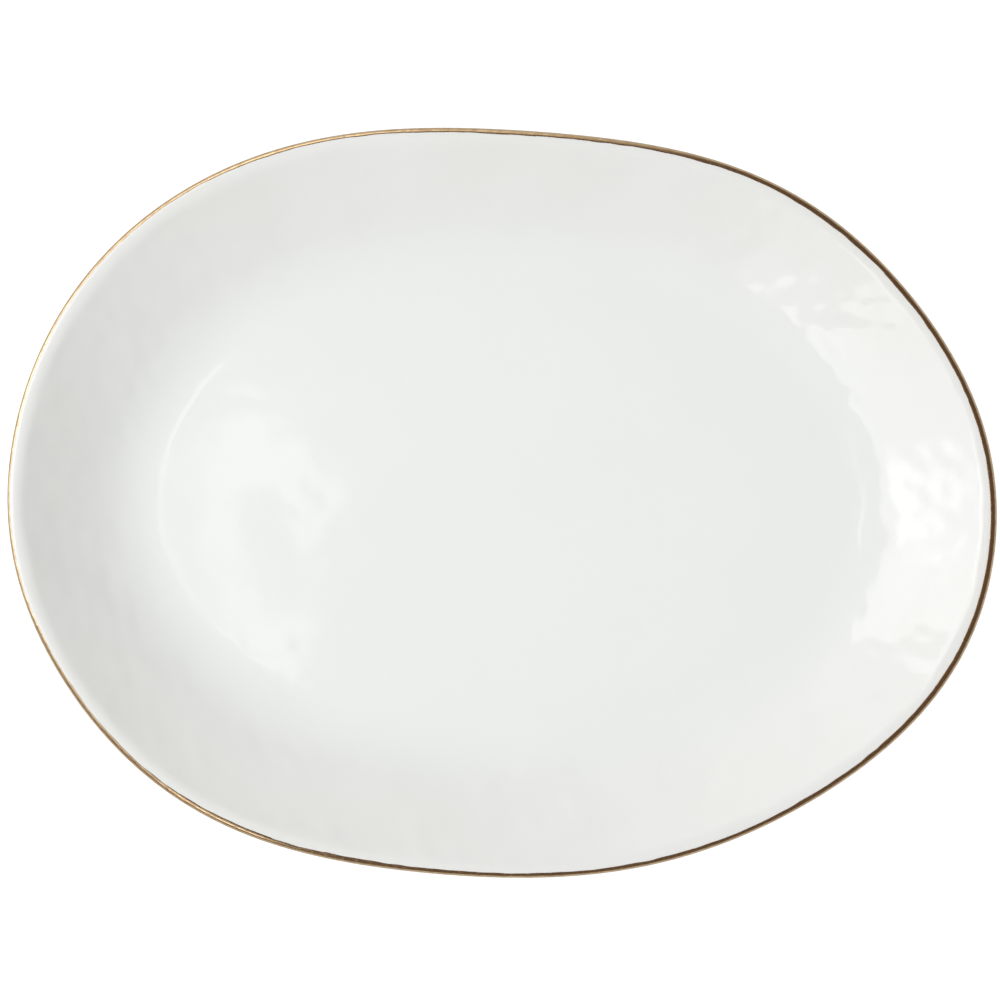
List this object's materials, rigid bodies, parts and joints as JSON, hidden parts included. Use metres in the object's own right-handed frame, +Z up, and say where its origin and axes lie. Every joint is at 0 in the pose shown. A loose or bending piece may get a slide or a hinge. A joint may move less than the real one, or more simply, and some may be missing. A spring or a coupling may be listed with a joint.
{
  "type": "china serving platter",
  "caption": "Free-form oval coupe serving platter in white glazed porcelain, with a low unglazed foot ring and a thin gold line round the rolled lip.",
  "frame": {"origin": "middle of the platter's overall box, on the surface that the foot ring stands on", "axes": "+X along the platter's length, +Y across its width, +Z up out of the well"},
  "size_m": [0.406, 0.308, 0.032],
  "materials": {
    "bare_porcelain": "matt bare clay, ground smooth at the foot",
    "white_glaze": "clear gloss over cool white porcelain",
    "fired_gold": "bright fired gold, painted by hand"
  },
  "bodies": {
    "root": {"biscuit_body": "bare_porcelain", "foot_ring": "bare_porcelain", "glaze_coat": "white_glaze", "recess_glaze": "white_glaze", "gold_rim_band": "fired_gold"}
  },
  "joints": []
}
